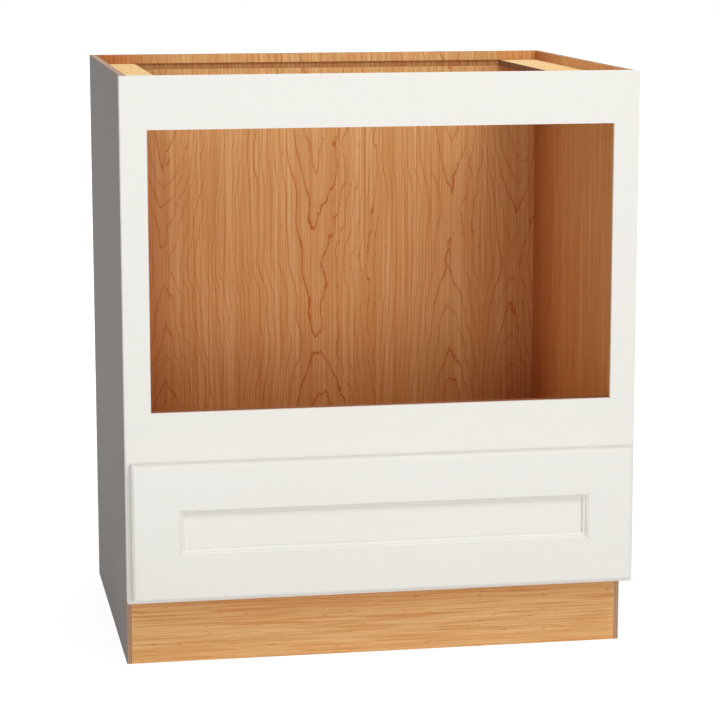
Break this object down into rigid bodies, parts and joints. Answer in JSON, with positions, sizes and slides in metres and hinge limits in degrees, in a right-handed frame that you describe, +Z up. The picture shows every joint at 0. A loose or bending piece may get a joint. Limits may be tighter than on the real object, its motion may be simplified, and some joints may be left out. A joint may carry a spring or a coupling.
{
  "type": "microwave base cabinet",
  "caption": "Framed kitchen base cabinet with an open niche for a built-in microwave, a full-overlay drawer below it on ball-bearing slides, and a recessed toe kick.",
  "frame": {"origin": "centre of the footprint's bounding box, on the floor", "axes": "+Z up, -Y out of the front, +X to the right as seen from the front"},
  "size_m": [0.762, 0.6234, 0.8763],
  "materials": {
    "white_paint": "satin white paint on maple",
    "cabinet_side": "warm grey laminate outside, clear-coated maple veneer inside, raw ply edges",
    "maple_veneer": "clear-coated maple veneer",
    "plywood": "raw plywood",
    "solid_maple": "pale solid maple",
    "zinc_steel": "zinc plated",
    "clear_rubber": "clear soft plastic"
  },
  "bodies": {
    "cabinet": {"stile_left": "white_paint", "stile_right": "white_paint", "bottom_rail": "white_paint", "middle_rail": "white_paint", "top_rail": "white_paint", "side_panel_left": "cabinet_side", "side_panel_right": "cabinet_side", "back_panel": "maple_veneer", "niche_deck": "maple_veneer", "toe_kick": "maple_veneer", "floor_panel": "plywood", "hanging_rail_top": "plywood", "hanging_rail_bottom": "plywood", "top_brace_left": "solid_maple", "top_brace_right": "solid_maple", "deck_cleat_left": "solid_maple", "deck_cleat_right": "solid_maple", "slide_block_left": "solid_maple", "slide_block_right": "solid_maple", "slide_outer_left": "zinc_steel", "slide_outer_right": "zinc_steel"},
    "drawer": {"drawer_front_stile_left": "white_paint", "drawer_front_stile_right": "white_paint", "drawer_front_rail_bottom": "white_paint", "drawer_front_rail_top": "white_paint", "drawer_front_panel": "white_paint", "drawer_side_left": "solid_maple", "drawer_side_right": "solid_maple", "drawer_box_front": "solid_maple", "drawer_box_back": "solid_maple", "drawer_bottom": "plywood", "drawer_screw_1": "zinc_steel", "drawer_screw_2": "zinc_steel", "drawer_screw_3": "zinc_steel", "drawer_screw_4": "zinc_steel", "drawer_bumper_left": "clear_rubber", "drawer_bumper_right": "clear_rubber", "slide_inner_left": "zinc_steel", "slide_inner_right": "zinc_steel"},
    "slide_member_left": {"slide_middle_left": "zinc_steel"},
    "slide_member_right": {"slide_middle_right": "zinc_steel"},
    "outer_cage_left": {"ball_cage_outer_left": "zinc_steel"},
    "outer_cage_right": {"ball_cage_outer_right": "zinc_steel"},
    "inner_cage_left": {"ball_cage_inner_left": "zinc_steel"},
    "inner_cage_right": {"ball_cage_inner_right": "zinc_steel"}
  },
  "joints": [
    {"name": "drawer_slide", "type": "slide", "parent": "cabinet", "child": "drawer", "axis": [0, -1, 0], "range_m": [0, 0.5334]},
    {"name": "middle_member_left", "type": "slide", "parent": "cabinet", "child": "slide_member_left", "axis": [0, -1, 0], "range_m": [0, 0.2667]},
    {"name": "middle_member_right", "type": "slide", "parent": "cabinet", "child": "slide_member_right", "axis": [0, -1, 0], "range_m": [0, 0.2667]},
    {"name": "outer_cage_left_roll", "type": "slide", "parent": "cabinet", "child": "outer_cage_left", "axis": [0, -1, 0], "range_m": [0, 0.13335]},
    {"name": "outer_cage_right_roll", "type": "slide", "parent": "cabinet", "child": "outer_cage_right", "axis": [0, -1, 0], "range_m": [0, 0.13335]},
    {"name": "inner_cage_left_roll", "type": "slide", "parent": "slide_member_left", "child": "inner_cage_left", "axis": [0, -1, 0], "range_m": [0, 0.13335]},
    {"name": "inner_cage_right_roll", "type": "slide", "parent": "slide_member_right", "child": "inner_cage_right", "axis": [0, -1, 0], "range_m": [0, 0.13335]}
  ],
  "couplings": [
    {"joint": "middle_member_left", "follows": "drawer_slide", "ratio": 0.5},
    {"joint": "middle_member_right", "follows": "drawer_slide", "ratio": 0.5},
    {"joint": "outer_cage_left_roll", "follows": "drawer_slide", "ratio": 0.25},
    {"joint": "outer_cage_right_roll", "follows": "drawer_slide", "ratio": 0.25},
    {"joint": "inner_cage_left_roll", "follows": "drawer_slide", "ratio": 0.25},
    {"joint": "inner_cage_right_roll", "follows": "drawer_slide", "ratio": 0.25}
  ]
}
